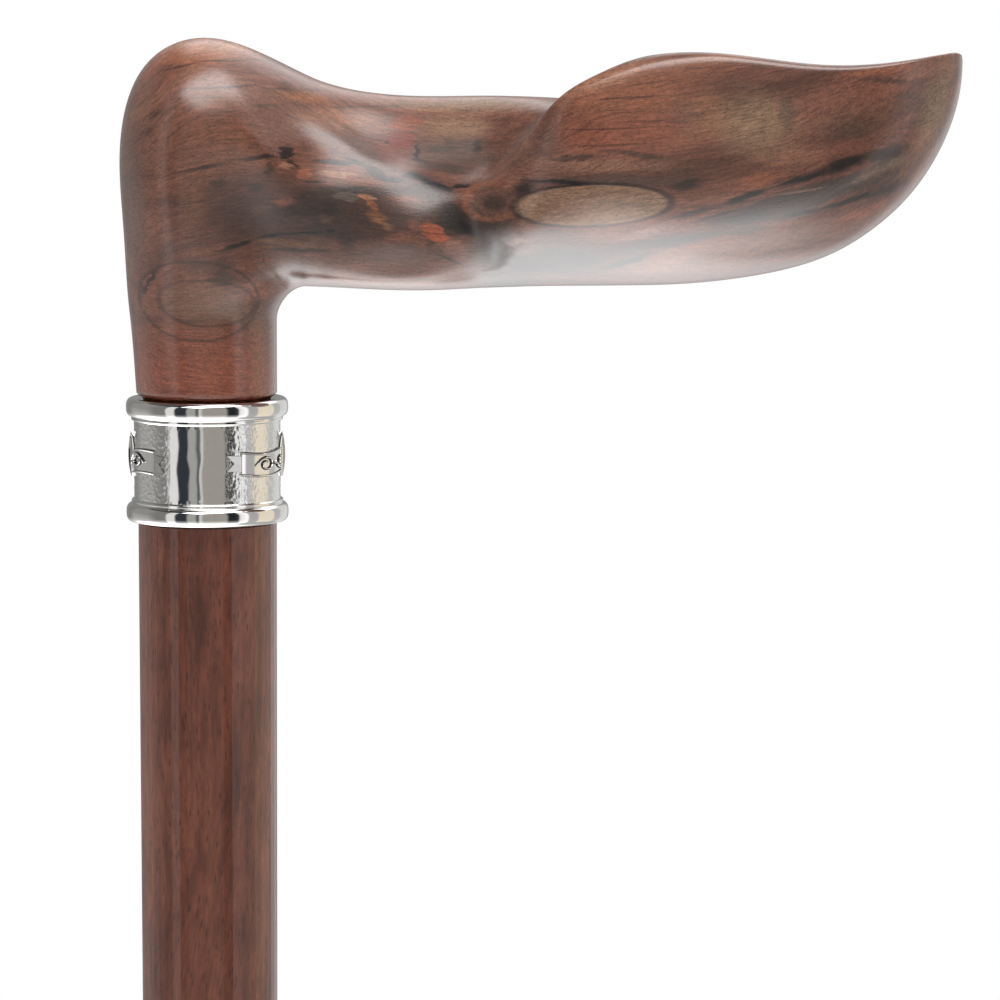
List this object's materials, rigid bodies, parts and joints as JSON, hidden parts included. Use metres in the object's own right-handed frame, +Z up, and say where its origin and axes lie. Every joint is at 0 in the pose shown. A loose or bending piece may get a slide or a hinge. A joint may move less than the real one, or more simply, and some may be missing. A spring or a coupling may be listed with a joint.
{
  "type": "walking cane",
  "caption": "Walking cane with a carved palm grip for the right hand, a polished metal collar, a tapered wooden shaft and a flared rubber tip.",
  "frame": {"origin": "on the shaft's axis, on the ground under the rubber tip", "axes": "+Z up along the shaft, +X along the grip towards its rounded end, -Y towards the side that carries the heel of the palm's raised rim"},
  "size_m": [0.1396, 0.0445, 0.914],
  "materials": {
    "carved_hardwood": "varnished, satin gloss, dark streaks and lighter eye figure",
    "stained_shaft_wood": "stained red-brown and varnished",
    "nickel_plate": "polished beads, pebbled ground between them",
    "zinc_plated_steel": "zinc plated",
    "brass": "turned",
    "black_rubber": "moulded, matt"
  },
  "bodies": {
    "root": {"palm_handle": "carved_hardwood", "threaded_insert": "brass", "hanger_bolt": "zinc_plated_steel", "collar": "nickel_plate", "shaft": "stained_shaft_wood", "rubber_tip": "black_rubber", "tip_washer": "zinc_plated_steel"}
  },
  "joints": []
}
